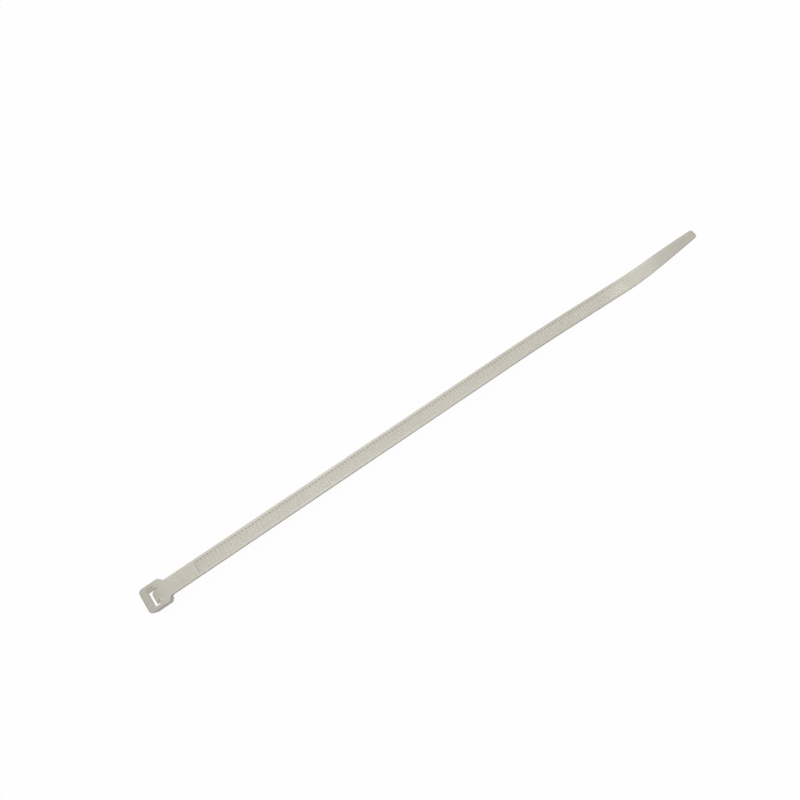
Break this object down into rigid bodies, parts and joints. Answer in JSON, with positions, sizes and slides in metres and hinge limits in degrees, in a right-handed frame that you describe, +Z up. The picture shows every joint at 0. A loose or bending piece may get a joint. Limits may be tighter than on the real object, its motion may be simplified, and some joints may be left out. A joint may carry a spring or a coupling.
{
  "type": "cable tie",
  "caption": "Self-locking cable tie: a long flat strap toothed between two side rails, a slotted head with a hinged pawl, and a tapered plain tip.",
  "frame": {"origin": "on the floor, under the middle of the whole length and on the middle line of the strap", "axes": "+X along the strap from the head to the tip, +Z up, square to the floor and out of the toothed face"},
  "size_m": [0.1994, 0.0074, 0.0064],
  "materials": {
    "natural_nylon": "satin, slightly translucent natural nylon"
  },
  "bodies": {
    "root": {"cable_tie": "natural_nylon"}
  },
  "joints": []
}
